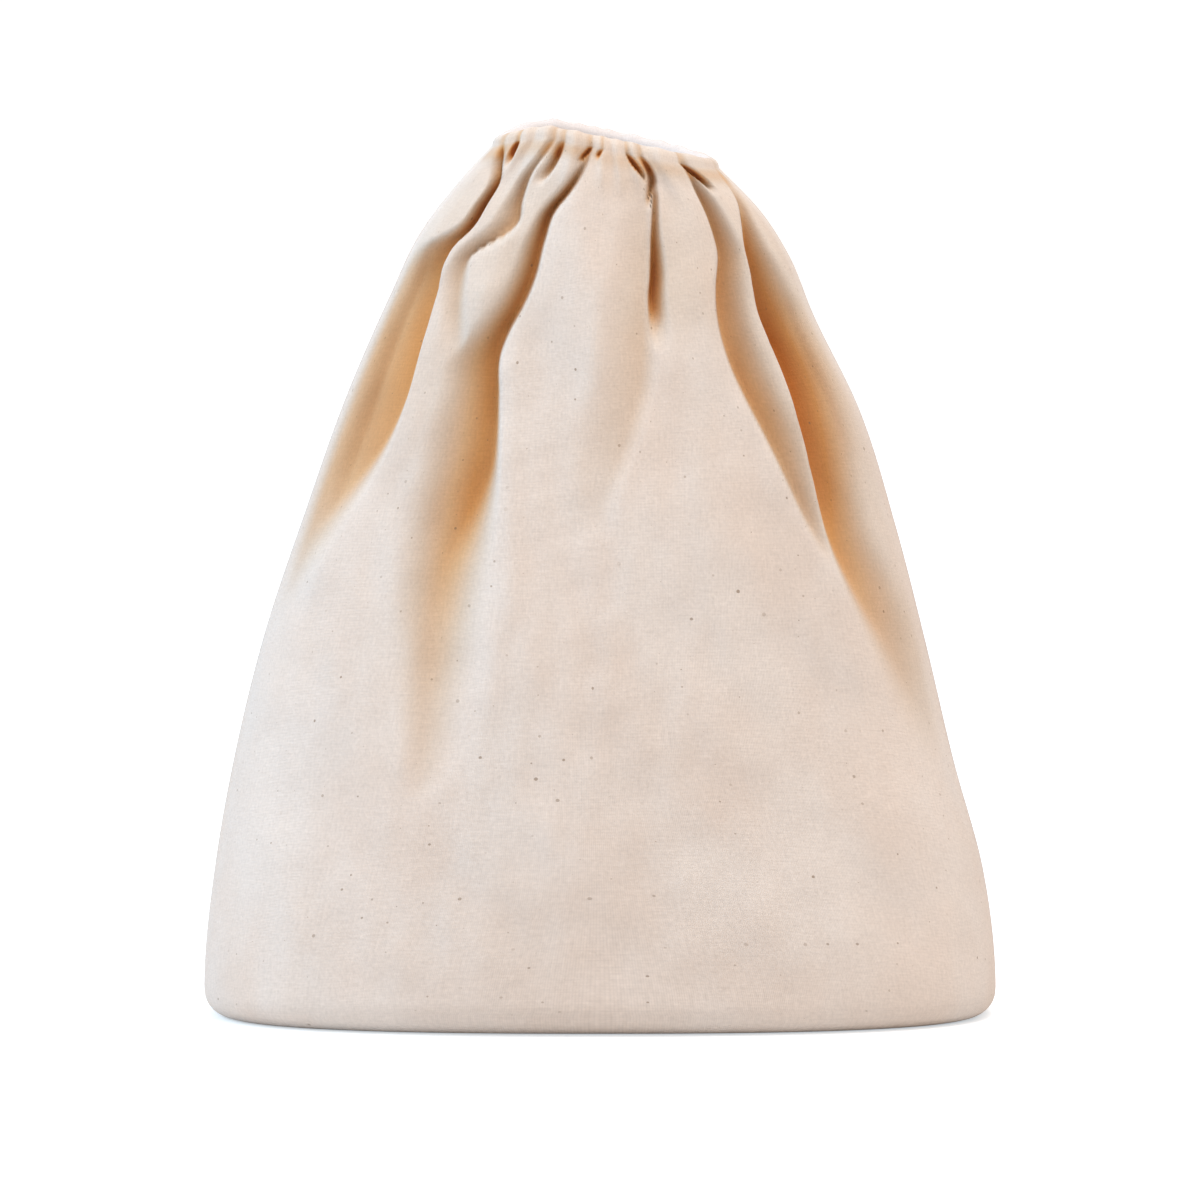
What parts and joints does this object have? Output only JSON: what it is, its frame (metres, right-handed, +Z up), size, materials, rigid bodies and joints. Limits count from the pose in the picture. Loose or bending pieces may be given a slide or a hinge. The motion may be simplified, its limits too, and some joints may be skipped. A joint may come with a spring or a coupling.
{
  "type": "reusable produce bag",
  "caption": "Gathered cotton drawstring produce bag, softly filled out and standing on its base, open inside with a narrow drawn-in mouth.",
  "frame": {"origin": "on the surface that the bag stands on, under the middle of its base", "axes": "+Z up, +X across the bag to the right seen from the front, the front looks along -Y"},
  "size_m": [0.27, 0.105, 0.3035],
  "materials": {
    "calico": "unbleached plain-weave cotton, matt, with fine seed specks",
    "calico_casing": "unbleached plain-weave cotton, matt, turned and stitched",
    "cotton_cord": "twisted natural cotton cord, matt"
  },
  "bodies": {
    "root": {"front_panel": "calico", "back_panel": "calico", "mouth_casing": "calico_casing", "drawstring": "cotton_cord"}
  },
  "joints": []
}
